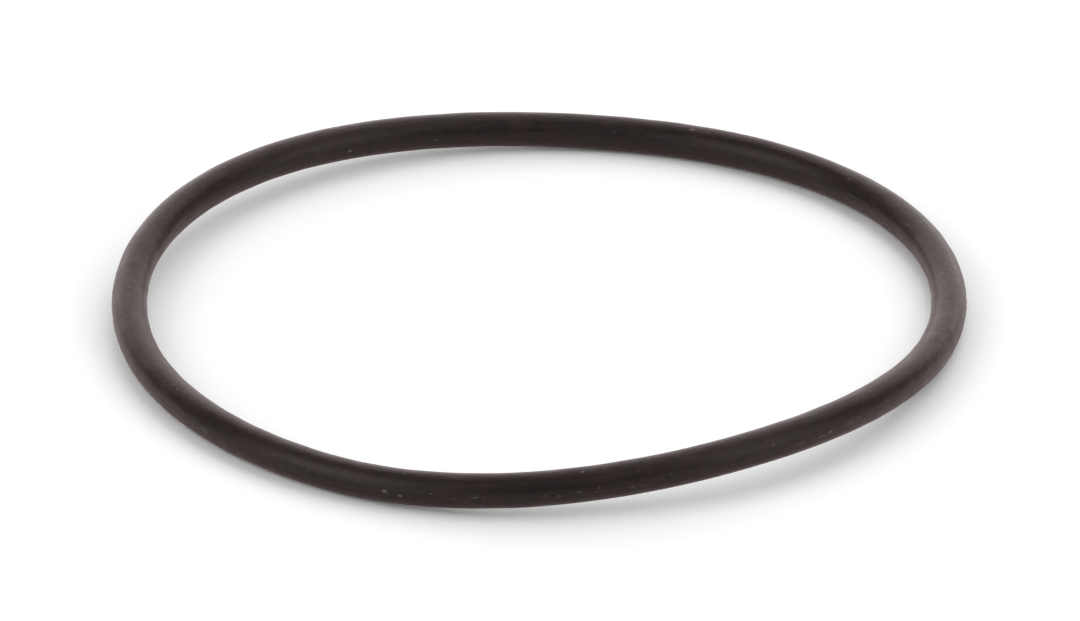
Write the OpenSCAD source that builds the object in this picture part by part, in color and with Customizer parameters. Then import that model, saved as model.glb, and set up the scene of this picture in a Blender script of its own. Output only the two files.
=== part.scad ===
// A moulded rubber o-ring, lying loose on a flat surface.
// The section is round, with a fine trimmed mould line inside and outside.
// The ring has a slight set, so its plan isn't a true circle and two arches stand clear of the surface.
// Angles go round the plan from +X, which is 0, towards +Y, which is 90.

/* [Ring] */
// Inside diameter of the ring as moulded
inside_diameter = 120.02; // [90:0.01:160]
// Diameter of the round section
section_diameter = 5.33; // [3:0.01:8]

/* [Mould line] */
// Height of the trimmed mould line above the round section
mould_line_height = 0.07; // [0.02:0.01:0.2]
// Width of the mould line across the foot of its ridge
mould_line_width = 0.4; // [0.2:0.05:0.8]

/* [Plan] */
// Radius gained along the long axis of the slightly oval plan
oval_depth = 0.7; // [0:0.05:2]
// Direction of the long axis
oval_angle = 60; // [0:1:180]
// Radius gained at the three blunt corners of the plan
corner_depth = 0.8; // [0:0.05:1.5]
// Direction of the first blunt corner
corner_angle = 31; // [0:1:120]

/* [Left arch] */
// Clearance under the crown of the left arch
left_arch_rise = 2.4; // [0:0.05:6]
// Direction of the crown of the left arch
left_arch_angle = 140; // [120:1:160]
// Angle from one foot of the left arch to the other
left_arch_span = 136; // [60:1:150]

/* [Right arch] */
// Clearance under the crown of the right arch
right_arch_rise = 3.2; // [0:0.05:6]
// Direction of the crown of the right arch
right_arch_angle = 299; // [280:1:310]
// Angle from one foot of the right arch to the other
right_arch_span = 120; // [60:1:140]

/* [Fineness] */
// Number of sections along the ring
station_count = 144; // [72:4:180]
// Number of flats between the two mould lines, on each half of the section
flats_per_half = 13; // [7:1:15]

/* [Hidden] */

rubber_black = [0.2, 0.17, 0.165];

section_radius = section_diameter / 2;
centreline_radius = inside_diameter / 2 + section_radius;
foot_angle = mould_line_width / section_diameter * 180 / PI;
flat_angle = (180 - 2 * foot_angle) / flats_per_half;
station_angle = 360 / station_count;
outline_count = 2 * (flats_per_half + 2);

// Turns any angle into the same direction between -180 and 180.
function turned(angle) = angle - 360 * floor((angle + 180) / 360);

// Height of one arch at a direction: a smooth hump that leaves and meets the surface level.
function arch(angle, crown, span, rise) =
    let (away = turned(angle - crown))
    abs(away) < span / 2 ? rise * pow(cos(180 * away / span), 2) : 0;

// Clearance between the ring and the surface at a direction.
function lift(angle) =
    arch(angle, left_arch_angle, left_arch_span, left_arch_rise)
    + arch(angle, right_arch_angle, right_arch_span, right_arch_rise);

// Distance of the centreline from the middle of the plan at a direction.
function plan_radius(angle) =
    centreline_radius
    + oval_depth * cos(2 * (angle - oval_angle))
    + corner_depth * cos(3 * (angle - corner_angle));

// A point of the centreline.
function centreline(angle) = [
    plan_radius(angle) * cos(angle),
    plan_radius(angle) * sin(angle),
    lift(angle)
];

function unit(vector) = vector / norm(vector);

// Outline of the section from the outer mould line, over the top and back underneath.
// The first value runs outwards and the second one upwards.
outline = [
    for (side = [0, 180])
        each concat(
            [(section_radius + mould_line_height) * [cos(side), sin(side)]],
            [
                for (flat = [0 : flats_per_half])
                    let (around = side + foot_angle + flat * flat_angle)
                    section_radius * [cos(around), sin(around)]
            ]
        )
];

// The outline set square to the centreline at one direction.
function station(angle) =
    let (
        middle = centreline(angle),
        along = unit(centreline(angle + station_angle / 2) - centreline(angle - station_angle / 2)),
        outwards = unit(cross(along, [0, 0, 1])),
        upwards = cross(outwards, along)
    )
    [for (point = outline) middle + point.x * outwards + point.y * upwards];

surface_points = [for (index = [0 : station_count - 1]) each station(index * station_angle)];

// Two triangles for each patch between neighbouring stations, closed on itself both ways.
surface_faces = [
    for (index = [0 : station_count - 1], corner = [0 : outline_count - 1])
        let (
            here = index * outline_count,
            next = (index + 1) % station_count * outline_count,
            following = (corner + 1) % outline_count
        )
        each [
            [here + corner, here + following, next + following],
            [here + corner, next + following, next + corner]
        ]
];

// The origin is the middle of the ring's box, on the surface that the ring lies on.
box_low = [for (axis = [0 : 2]) min([for (point = surface_points) point[axis]])];
box_high = [for (axis = [0 : 2]) max([for (point = surface_points) point[axis]])];
origin = [(box_low.x + box_high.x) / 2, (box_low.y + box_high.y) / 2, box_low.z];

module o_ring() {
    color(rubber_black)
        translate(-origin)
            polyhedron(points = surface_points, faces = surface_faces, convexity = 6);
}

o_ring();
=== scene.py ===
"""A moulded rubber o-ring lying loose on a white table, in soft studio light."""
import math

import bpy
import numpy as np
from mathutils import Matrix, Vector


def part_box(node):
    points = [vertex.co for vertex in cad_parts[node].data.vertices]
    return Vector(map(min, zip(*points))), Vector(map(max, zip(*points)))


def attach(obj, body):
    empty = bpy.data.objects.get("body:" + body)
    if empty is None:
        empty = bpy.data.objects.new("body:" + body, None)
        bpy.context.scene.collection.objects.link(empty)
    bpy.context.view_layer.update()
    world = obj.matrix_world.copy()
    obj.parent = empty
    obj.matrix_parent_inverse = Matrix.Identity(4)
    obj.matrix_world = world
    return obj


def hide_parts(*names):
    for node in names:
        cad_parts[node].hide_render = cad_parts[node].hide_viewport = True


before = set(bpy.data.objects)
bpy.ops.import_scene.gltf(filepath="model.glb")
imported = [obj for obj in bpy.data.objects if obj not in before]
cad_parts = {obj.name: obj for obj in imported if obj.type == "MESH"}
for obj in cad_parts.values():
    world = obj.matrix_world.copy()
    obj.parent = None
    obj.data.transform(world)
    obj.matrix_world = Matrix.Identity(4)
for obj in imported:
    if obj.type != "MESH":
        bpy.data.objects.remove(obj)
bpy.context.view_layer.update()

MM = 0.001
FULL_TURN = 2 * math.pi

# The ring's own sizes, as in the part, in metres and radians.
# Directions go round the plan from +X, which is 0, towards +Y.
INSIDE_DIAMETER = 120.02 * MM
SECTION_RADIUS = 5.33 * MM / 2
MOULD_LINE_HEIGHT = 0.07 * MM
MOULD_LINE_WIDTH = 0.4 * MM
OVAL_DEPTH = 0.7 * MM
OVAL_DIRECTION = math.radians(60)
CORNER_DEPTH = 0.8 * MM
CORNER_DIRECTION = math.radians(31)
ARCHES = [
    # crown direction, span from foot to foot, clearance under the crown
    (math.radians(140), math.radians(136), 2.4 * MM),
    (math.radians(299), math.radians(120), 3.2 * MM),
]
CENTRELINE_RADIUS = INSIDE_DIAMETER / 2 + SECTION_RADIUS

# The slight unevenness of a moulded skin: its waves round the section, and the fewest and the
# most changes that it has round the whole ring.
SKIN_UNEVENNESS = 0.012 * MM
SKIN_WAVES = (1, 2, 3, 4)
SKIN_CHANGES = (3, 60)
SKIN_COSINE_SEED = 10
SKIN_SINE_SEED = 20

# How much of the mould line the trimming left, as parts of its height, and the fewest and the
# most changes that it has round the whole ring.
LINE_LEFT_LEAST = 0.15
LINE_LEFT_USUAL = 0.3
LINE_LEFT_SWING = 0.3
LINE_CHANGES = (20, 160)
LINE_SEED = 3

# How finely the skin is meshed: places along the ring, points over each mould line, how far they
# reach in line widths, and points on each side between the two lines.
STATIONS = 1200
LINE_POINTS = 9
LINE_POINTS_REACH = 1.2
SIDE_POINTS = 23

# The camera, from the photograph's 1080 by 621 frame.
PHOTO_WIDTH = 1080
PIXELS_PER_MM = 6.572
CAMERA_ELEVATION = math.radians(26.28)
LENS_MM = 800
SENSOR_MM = 36
# The photo's middle, as seen from the middle of the ring's plan.
AIM_RIGHT = 0.11 * MM
AIM_DOWN = 0.06 * MM
# The nearest and the farthest that the camera sees.
NEAR_LIMIT = 0.1
FAR_LIMIT = 20

# The rubber's colours and gloss, and the dust on it.
RUBBER_DEEP = (0.0050, 0.0060, 0.0060, 1)
RUBBER_BROWN = (0.0138, 0.0080, 0.0072, 1)
RUBBER_STREAK = (0.0185, 0.0152, 0.0147, 1)
DUST = (0.22, 0.20, 0.19, 1)
FAINTEST_SPECK = 0.3
RUBBER_IOR = 1.30
RUBBER_GLOSS_TINT = (1.0, 0.86, 0.845, 1)
RUBBER_SHEEN = 0.10
RUBBER_SHEEN_TINT = (1.0, 0.24, 0.21, 1)
RUBBER_ROUGHNESS = 0.30
RELIEF_HEIGHT = 0.02 * MM

# What each mark does to the rubber where it is full: how far it turns it brown, which colour it
# lays over it and how thickly, how much rougher it makes it, and how many relief heights it
# stands out.
BROWN_MARKS = {"patches": 0.3, "warmth": 0.7}
LAYERS = [
    ("streaks", 0.5, RUBBER_STREAK),
    ("grain", 0.5, RUBBER_STREAK),
    ("bloom", 0.025, DUST),
    ("crumbs", 0.3, DUST),
    ("line_dust", 0.22, DUST),
    ("dust", 0.5, DUST),
]
ROUGH_MARKS = {"streaks": 0.06, "mottle": 0.06, "patches": 0.04, "dust": 0.3}
RAISED_MARKS = {"grain": 1.0, "streaks": 0.4, "mottle": 1.2, "dust": 1.5, "pits": -1.5}

# The lamps, in degrees and metres. The azimuth is 0 behind the ring and 90 to its right.
LAMPS = [
    # name, azimuth, elevation, distance, width, height, radiance
    ("right_softbox", 112, 28, 1.0, 0.65, 0.65, 1.84),
    ("right_low_card", 118, 7, 1.0, 0.73, 0.25, 0.97),
    ("right_high_card", 108, 52, 1.0, 0.65, 0.35, 0.98),
    ("left_softbox", 244, 28, 1.0, 0.65, 0.65, 2.49),
    ("left_low_card", 240, 7, 1.0, 0.81, 0.25, 0.40),
    ("left_high_card", 252, 52, 1.0, 0.65, 0.35, 1.21),
    ("left_front_card", 212, 14, 1.0, 0.43, 0.46, 0.74),
    ("back_low_light", 0, 8, 1.2, 2.16, 0.38, 1.68),
    ("back_light", 0, 28, 1.2, 2.16, 0.47, 1.29),
    ("back_high_light", 18, 50, 1.2, 1.50, 0.47, 1.33),
    ("overhead_light", 50, 76, 1.2, 1.12, 0.55, 1.06),
    ("front_light", 180, 52, 1.2, 0.87, 0.51, 0.60),
]
ROOM_LIGHT = 0.23

# The table: its white for the light and as it is seen, its size, and the distances from the ring
# between which it turns plain white.
TABLE_WHITE = 0.93
TABLE_SHOWN = 1.08
TABLE_RADIUS = 6.0
TABLE_SIDES = 96
PLAIN_WHITE_FROM = 0.2
PLAIN_WHITE_BEYOND = 0.7

# Above the table's edge the room is seen as plain white up to the first of these slopes, and as
# its own even light from the second.
HORIZON_WHITE_UP_TO = 0.018
HORIZON_FADES_OUT = 0.035


def wander(directions, seed, changes):
    """A smooth wandering round 0, of about unit size, that closes on itself round the ring.

    changes gives the fewest and the most waves that it has round the ring.
    """
    draw = np.random.default_rng(seed)
    fewest, most = changes
    counts = np.arange(fewest, most + 1)
    strengths = draw.normal(size=(2, len(counts)))
    turns = counts[:, None] * directions[None, :]
    return (strengths[0] @ np.cos(turns) + strengths[1] @ np.sin(turns)) / math.sqrt(len(counts))


def lift(directions):
    """The clearance between the ring and the table at each direction."""
    total = np.zeros_like(directions)
    for crown, span, rise in ARCHES:
        away = (directions - crown + math.pi) % FULL_TURN - math.pi
        hump = rise * np.cos(math.pi * away / span) ** 2
        total += np.where(np.abs(away) < span / 2, hump, 0)
    return total


def centreline(directions):
    """The middle of the section at each direction, about the middle of the plan."""
    radius = (
        CENTRELINE_RADIUS
        + OVAL_DEPTH * np.cos(2 * (directions - OVAL_DIRECTION))
        + CORNER_DEPTH * np.cos(3 * (directions - CORNER_DIRECTION))
    )
    return np.stack(
        [radius * np.cos(directions), radius * np.sin(directions), lift(directions)], axis=1
    )


def section_frames(directions):
    """The centreline with the section's outward and upward unit vectors at each direction."""
    middle = centreline(directions)
    step = math.pi / STATIONS
    along = centreline(directions + step) - centreline(directions - step)
    along /= np.linalg.norm(along, axis=1)[:, None]
    outwards = np.cross(along, [0, 0, 1])
    outwards /= np.linalg.norm(outwards, axis=1)[:, None]
    return middle, outwards, np.cross(outwards, along)


def section_angles():
    """Angles round the section from the outer mould line, closer together over each line."""
    reach = LINE_POINTS_REACH * MOULD_LINE_WIDTH / SECTION_RADIUS / 2
    over_line = np.linspace(-reach, reach, LINE_POINTS)
    between = np.linspace(reach, math.pi - reach, SIDE_POINTS + 2)[1:-1]
    half_turn = np.concatenate([over_line, between])
    return np.concatenate([half_turn, half_turn + math.pi])


def mould_line(directions, around):
    """How far the mould line stands out, which varies with how closely it was trimmed."""
    half_width = MOULD_LINE_WIDTH / SECTION_RADIUS / 2
    from_line = np.abs((around + math.pi / 2) % math.pi - math.pi / 2)
    profile = np.cos(np.clip(from_line / half_width, 0, 1) * math.pi / 2) ** 2
    trimmed = LINE_LEFT_USUAL + LINE_LEFT_SWING * wander(directions, LINE_SEED, LINE_CHANGES)
    left = LINE_LEFT_LEAST + (1 - LINE_LEFT_LEAST) * np.clip(trimmed, 0, 1)
    return MOULD_LINE_HEIGHT * left[:, None] * profile[None, :]


def skin_radius(directions, around):
    """The distance from the middle of the section to the skin, with the mould lines."""
    uneven = np.zeros((len(directions), len(around)))
    for waves in SKIN_WAVES:
        for seed, shape in ((SKIN_COSINE_SEED, np.cos), (SKIN_SINE_SEED, np.sin)):
            strength = wander(directions, seed + waves, SKIN_CHANGES)
            uneven += strength[:, None] * shape(waves * around)[None, :]
    return SECTION_RADIUS + SKIN_UNEVENNESS * uneven / 2 + mould_line(directions, around)


def ring_points(directions, around):
    """The skin's points about the middle of the plan, one row for each direction."""
    middle, outwards, upwards = section_frames(directions)
    radius = skin_radius(directions, around)[:, :, None]
    sideways = radius * np.cos(around)[None, :, None] * outwards[:, None, :]
    raised = radius * np.sin(around)[None, :, None] * upwards[:, None, :]
    return middle[:, None, :] + sideways + raised


def placed(points):
    """The same points where the part lies: centred on its plan, with the lowest on the table."""
    low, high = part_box("o_ring")
    flat = points.reshape(-1, 3)
    shift = (np.array(low) + np.array(high)) / 2 - (flat.min(0) + flat.max(0)) / 2
    shift[2] = low.z - flat[:, 2].min()
    return points + shift, shift


def store(mesh, name, kind, values):
    """Keep a value for each point of the mesh, for the finish to read."""
    attribute = mesh.attributes.new(name, kind, "POINT")
    field = "vector" if kind == "FLOAT_VECTOR" else "value"
    attribute.data.foreach_set(field, np.asarray(values, dtype=np.float32).ravel())


def make_ring(name):
    """The ring as one closed skin that knows its directions, and the middle of its plan."""
    directions = np.linspace(0, FULL_TURN, STATIONS, endpoint=False)
    around = section_angles()
    points, middle = placed(ring_points(directions, around))
    count = len(around)
    here = np.arange(STATIONS)[:, None] * count
    beyond = (np.arange(STATIONS)[:, None] + 1) % STATIONS * count
    corner = np.arange(count)[None, :]
    turned = (np.arange(count)[None, :] + 1) % count
    faces = np.stack([here + corner, beyond + corner, beyond + turned, here + turned], axis=2)
    mesh = bpy.data.meshes.new(name)
    mesh.from_pydata(points.reshape(-1, 3).tolist(), [], faces.reshape(-1, 4).tolist())
    mesh.polygons.foreach_set("use_smooth", [True] * len(mesh.polygons))
    every_direction, every_around = np.meshgrid(directions, around, indexing="ij")
    flow = np.stack([np.cos(every_around), np.sin(every_around), np.cos(every_direction)], axis=2)
    store(mesh, "flow", "FLOAT_VECTOR", flow)
    store(mesh, "flow_across", "FLOAT", np.sin(every_direction))
    mesh.update()
    ring = bpy.data.objects.new(name, mesh)
    bpy.context.scene.collection.objects.link(ring)
    return ring, middle


def make_node(tree, kind, **settings):
    """A new node with its menu settings."""
    node = tree.nodes.new(kind)
    for key, value in settings.items():
        setattr(node, key, value)
    return node


def plug(tree, socket, value):
    """Give a socket a number or colour, or link it to another node's output."""
    if isinstance(value, bpy.types.NodeSocket):
        tree.links.new(value, socket)
    else:
        socket.default_value = value


def calculate(tree, operation, first, second=None):
    """The result of one operation on one or two numbers, which may come from other nodes."""
    node = make_node(tree, "ShaderNodeMath", operation=operation)
    plug(tree, node.inputs[0], first)
    if second is not None:
        plug(tree, node.inputs[1], second)
    return node.outputs["Value"]


def add(tree, first, second):
    return calculate(tree, "ADD", first, second)


def times(tree, first, second):
    return calculate(tree, "MULTIPLY", first, second)


def weighed(tree, marks, weights):
    """The marks added up, each times its weight."""
    parts = [times(tree, marks[name], weight) for name, weight in weights.items()]
    total = parts[0]
    for part in parts[1:]:
        total = add(tree, total, part)
    return total


def spread(tree, value, low, high):
    """Stretch the values from low to high over 0 to 1, with soft ends."""
    node = make_node(tree, "ShaderNodeMapRange", interpolation_type="SMOOTHSTEP")
    plug(tree, node.inputs["Value"], value)
    node.inputs["From Min"].default_value = low
    node.inputs["From Max"].default_value = high
    return node.outputs["Result"]


def blend(tree, amount, first, second):
    """Go from the first colour to the second by the amount."""
    node = make_node(tree, "ShaderNodeMix", data_type="RGBA")
    sockets = {socket.name: socket for socket in node.inputs if socket.enabled}
    plug(tree, sockets["Factor"], amount)
    plug(tree, sockets["A"], first)
    plug(tree, sockets["B"], second)
    return next(socket for socket in node.outputs if socket.enabled)


def noise(tree, place, scale, detail, roughness):
    """Noise that is alike in every direction, with its scale in blotches a metre."""
    node = make_node(tree, "ShaderNodeTexNoise")
    node.inputs["Scale"].default_value = scale
    node.inputs["Detail"].default_value = detail
    node.inputs["Roughness"].default_value = roughness
    tree.links.new(place, node.inputs["Vector"])
    return node.outputs["Fac"]


def flow_place(tree, flow, across, around, along):
    """Coordinates without a seam that run round the section and along the ring."""
    scaled = make_node(tree, "ShaderNodeVectorMath", operation="MULTIPLY")
    tree.links.new(flow, scaled.inputs[0])
    scaled.inputs[1].default_value = (around, around, along)
    return scaled.outputs["Vector"], times(tree, across, along)


def flow_noise(tree, flow, across, around, along, detail, roughness):
    """Noise that follows the ring, with its own scales round the section and along the ring."""
    node = make_node(tree, "ShaderNodeTexNoise", noise_dimensions="4D")
    node.inputs["Scale"].default_value = 1
    node.inputs["Detail"].default_value = detail
    node.inputs["Roughness"].default_value = roughness
    vector, fourth = flow_place(tree, flow, across, around, along)
    tree.links.new(vector, node.inputs["Vector"])
    tree.links.new(fourth, node.inputs["W"])
    return node.outputs["Fac"]


def specks(tree, flow, across, around, along, size, share):
    """Scattered specks, of which only a share shows."""
    node = make_node(tree, "ShaderNodeTexVoronoi", voronoi_dimensions="4D")
    node.inputs["Scale"].default_value = 1
    vector, fourth = flow_place(tree, flow, across, around, along)
    tree.links.new(vector, node.inputs["Vector"])
    tree.links.new(fourth, node.inputs["W"])
    close = spread(tree, node.outputs["Distance"], size, size * 0.5)
    apart = make_node(tree, "ShaderNodeSeparateColor")
    tree.links.new(node.outputs["Color"], apart.inputs["Color"])
    kept = calculate(tree, "LESS_THAN", apart.outputs["Red"], share)
    bolder = times(tree, apart.outputs["Green"], 1 - FAINTEST_SPECK)
    return times(tree, times(tree, close, kept), add(tree, bolder, FAINTEST_SPECK))


def mould_line_dust(tree, flow, across):
    """Pale dust that clings here and there along the outer mould line.

    Heights over the line are parts of the section's radius.
    """
    parts = make_node(tree, "ShaderNodeSeparateXYZ")
    tree.links.new(flow, parts.inputs["Vector"])
    height = calculate(tree, "ABSOLUTE", parts.outputs["Y"])
    near_line = spread(tree, height, 0.26, 0.04)
    outside = calculate(tree, "GREATER_THAN", parts.outputs["X"], 0)
    broken = flow_noise(tree, flow, across, around=5, along=42, detail=3, roughness=0.5)
    gathered = flow_noise(tree, flow, across, around=1, along=5, detail=1, roughness=0.5)
    broken = times(tree, spread(tree, broken, 0.54, 0.68), spread(tree, gathered, 0.42, 0.62))
    return times(tree, times(tree, near_line, outside), broken)


def rubber_marks(tree):
    """Where each mark on the rubber is, from 0 to 1."""
    place = make_node(tree, "ShaderNodeTexCoord").outputs["Object"]
    flow = make_node(tree, "ShaderNodeAttribute", attribute_name="flow").outputs["Vector"]
    across = make_node(tree, "ShaderNodeAttribute", attribute_name="flow_across").outputs["Fac"]

    patches = noise(tree, place, scale=85, detail=4, roughness=0.6)
    warmth = flow_noise(tree, flow, across, around=2.0, along=25, detail=4, roughness=0.65)
    mottle = flow_noise(tree, flow, across, around=1.7, along=21, detail=4, roughness=0.6)
    streaks = flow_noise(tree, flow, across, around=7, along=9, detail=3, roughness=0.5)
    grain = flow_noise(tree, flow, across, around=4.2, along=48, detail=4, roughness=0.65)
    marks = {
        "patches": spread(tree, patches, 0.35, 0.68),
        "warmth": spread(tree, warmth, 0.38, 0.62),
        "mottle": spread(tree, mottle, 0.3, 0.7),
        "streaks": spread(tree, streaks, 0.42, 0.75),
        "grain": spread(tree, grain, 0.3, 0.75),
        "dust": specks(tree, flow, across, around=1.5, along=20, size=0.19, share=0.6),
        "crumbs": specks(tree, flow, across, around=3.2, along=44, size=0.18, share=0.4),
        "pits": specks(tree, flow, across, around=2.6, along=37, size=0.16, share=0.3),
        "line_dust": mould_line_dust(tree, flow, across),
    }
    thick_mottle = spread(tree, marks["mottle"], 0.55, 1.0)
    thick_patches = spread(tree, marks["patches"], 0.3, 1.0)
    marks["bloom"] = times(tree, thick_mottle, thick_patches)
    return marks


def rubber_material():
    """Black rubber with a warm cast: mottled, faintly drawn out along the ring, and a little dusty."""
    material = bpy.data.materials.new("moulded_rubber")
    material.use_nodes = True
    tree = material.node_tree
    marks = rubber_marks(tree)
    shader = tree.nodes["Principled BSDF"]
    shader.inputs["IOR"].default_value = RUBBER_IOR
    shader.inputs["Specular Tint"].default_value = RUBBER_GLOSS_TINT
    shader.inputs["Sheen Weight"].default_value = RUBBER_SHEEN
    shader.inputs["Sheen Tint"].default_value = RUBBER_SHEEN_TINT

    colour = blend(tree, weighed(tree, marks, BROWN_MARKS), RUBBER_DEEP, RUBBER_BROWN)
    for name, thickness, layer in LAYERS:
        colour = blend(tree, times(tree, marks[name], thickness), colour, layer)
    tree.links.new(colour, shader.inputs["Base Color"])

    roughness = add(tree, weighed(tree, marks, ROUGH_MARKS), RUBBER_ROUGHNESS)
    tree.links.new(roughness, shader.inputs["Roughness"])

    bump = make_node(tree, "ShaderNodeBump")
    bump.inputs["Distance"].default_value = RELIEF_HEIGHT
    bump.inputs["Strength"].default_value = 1.0
    tree.links.new(weighed(tree, marks, RAISED_MARKS), bump.inputs["Height"])
    tree.links.new(bump.outputs["Normal"], shader.inputs["Normal"])
    return material


def seen_directly_or_reflected(tree):
    """1 for what the camera sees, itself or in a reflection, and 0 for what only lights."""
    path = make_node(tree, "ShaderNodeLightPath")
    seen = calculate(tree, "MAXIMUM", path.outputs["Is Camera Ray"], path.outputs["Is Glossy Ray"])
    return calculate(tree, "MAXIMUM", seen, path.outputs["Is Transmission Ray"])


def mix_shaders(tree, amount, first, second):
    """Go from the first shader to the second by the amount."""
    mix = make_node(tree, "ShaderNodeMixShader")
    tree.links.new(amount, mix.inputs["Fac"])
    tree.links.new(first, mix.inputs[1])
    tree.links.new(second, mix.inputs[2])
    return mix.outputs["Shader"]


def matt(tree, level):
    """A matt grey or white of one level."""
    diffuse = make_node(tree, "ShaderNodeBsdfDiffuse")
    diffuse.inputs["Color"].default_value = (level, level, level, 1)
    return diffuse.outputs["BSDF"]


def white_material():
    """White board: matt for the light, a little brighter when seen, and plain white far off."""
    material = bpy.data.materials.new("white_table")
    material.use_nodes = True
    tree = material.node_tree
    tree.nodes.remove(tree.nodes["Principled BSDF"])
    place = make_node(tree, "ShaderNodeTexCoord").outputs["Object"]
    distance = make_node(tree, "ShaderNodeVectorMath", operation="LENGTH")
    tree.links.new(place, distance.inputs[0])
    far_off = spread(tree, distance.outputs["Value"], PLAIN_WHITE_FROM, PLAIN_WHITE_BEYOND)
    white = make_node(tree, "ShaderNodeEmission").outputs["Emission"]
    shown = mix_shaders(tree, far_off, matt(tree, TABLE_SHOWN), white)
    surface = mix_shaders(tree, seen_directly_or_reflected(tree), matt(tree, TABLE_WHITE), shown)
    tree.links.new(surface, tree.nodes["Material Output"].inputs["Surface"])
    return material


def make_table():
    """A round white table top."""
    directions = np.linspace(0, FULL_TURN, TABLE_SIDES, endpoint=False)
    edge = [(TABLE_RADIUS * math.cos(d), TABLE_RADIUS * math.sin(d), 0) for d in directions]
    mesh = bpy.data.meshes.new("table")
    mesh.from_pydata(edge, [], [tuple(range(len(edge)))])
    table = bpy.data.objects.new("table", mesh)
    table.data.materials.append(white_material())
    bpy.context.scene.collection.objects.link(table)


def soft_box(name, azimuth, elevation, distance, width, height, radiance):
    """A rectangular lamp that faces the ring."""
    turn = math.radians(azimuth)
    climb = math.radians(elevation)
    outwards = math.cos(climb)
    towards = Vector((math.sin(turn) * outwards, math.cos(turn) * outwards, math.sin(climb)))
    lamp = bpy.data.lights.new(name, "AREA")
    lamp.shape = "RECTANGLE"
    lamp.size = width
    lamp.size_y = height
    lamp.energy = radiance * math.pi * width * height
    holder = bpy.data.objects.new(name, lamp)
    holder.location = towards * distance
    holder.rotation_euler = (-towards).to_track_quat("-Z", "Y").to_euler()
    holder.visible_camera = False
    bpy.context.scene.collection.objects.link(holder)


def light_the_room():
    """The lamps and the room's even light, which is seen as plain white at the table's edge."""
    for lamp in LAMPS:
        soft_box(*lamp)
    world = bpy.data.worlds.new("studio")
    bpy.context.scene.world = world
    world.use_nodes = True
    tree = world.node_tree
    parts = make_node(tree, "ShaderNodeSeparateXYZ")
    direction = make_node(tree, "ShaderNodeTexCoord").outputs["Generated"]
    tree.links.new(direction, parts.inputs["Vector"])
    low = spread(tree, parts.outputs["Z"], HORIZON_FADES_OUT, HORIZON_WHITE_UP_TO)
    white = times(tree, low, seen_directly_or_reflected(tree))
    strength = add(tree, times(tree, white, 1 - ROOM_LIGHT), ROOM_LIGHT)
    background = tree.nodes["Background"]
    background.inputs["Color"].default_value = (1, 1, 1, 1)
    tree.links.new(strength, background.inputs["Strength"])


def make_camera(middle):
    """A long lens at the photograph's angle and scale."""
    distance = LENS_MM / SENSOR_MM * PHOTO_WIDTH / PIXELS_PER_MM * MM
    towards = Vector((0, -math.cos(CAMERA_ELEVATION), math.sin(CAMERA_ELEVATION)))
    picture_up = Vector((0, math.sin(CAMERA_ELEVATION), math.cos(CAMERA_ELEVATION)))
    aim = middle + Vector((AIM_RIGHT, 0, 0)) - AIM_DOWN * picture_up
    data = bpy.data.cameras.new("camera")
    data.lens = LENS_MM
    data.sensor_width = SENSOR_MM
    data.clip_start = NEAR_LIMIT
    data.clip_end = FAR_LIMIT
    camera = bpy.data.objects.new("camera", data)
    camera.location = aim + towards * distance
    camera.rotation_euler = (-towards).to_track_quat("-Z", "Y").to_euler()
    bpy.context.scene.collection.objects.link(camera)
    bpy.context.scene.camera = camera


bpy.context.scene.view_settings.view_transform = "Standard"
ring, plan_middle = make_ring("ring_skin")
ring.data.materials.append(rubber_material())
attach(ring, "root")
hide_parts("o_ring")
make_camera(Vector(plan_middle))
make_table()
light_the_room()
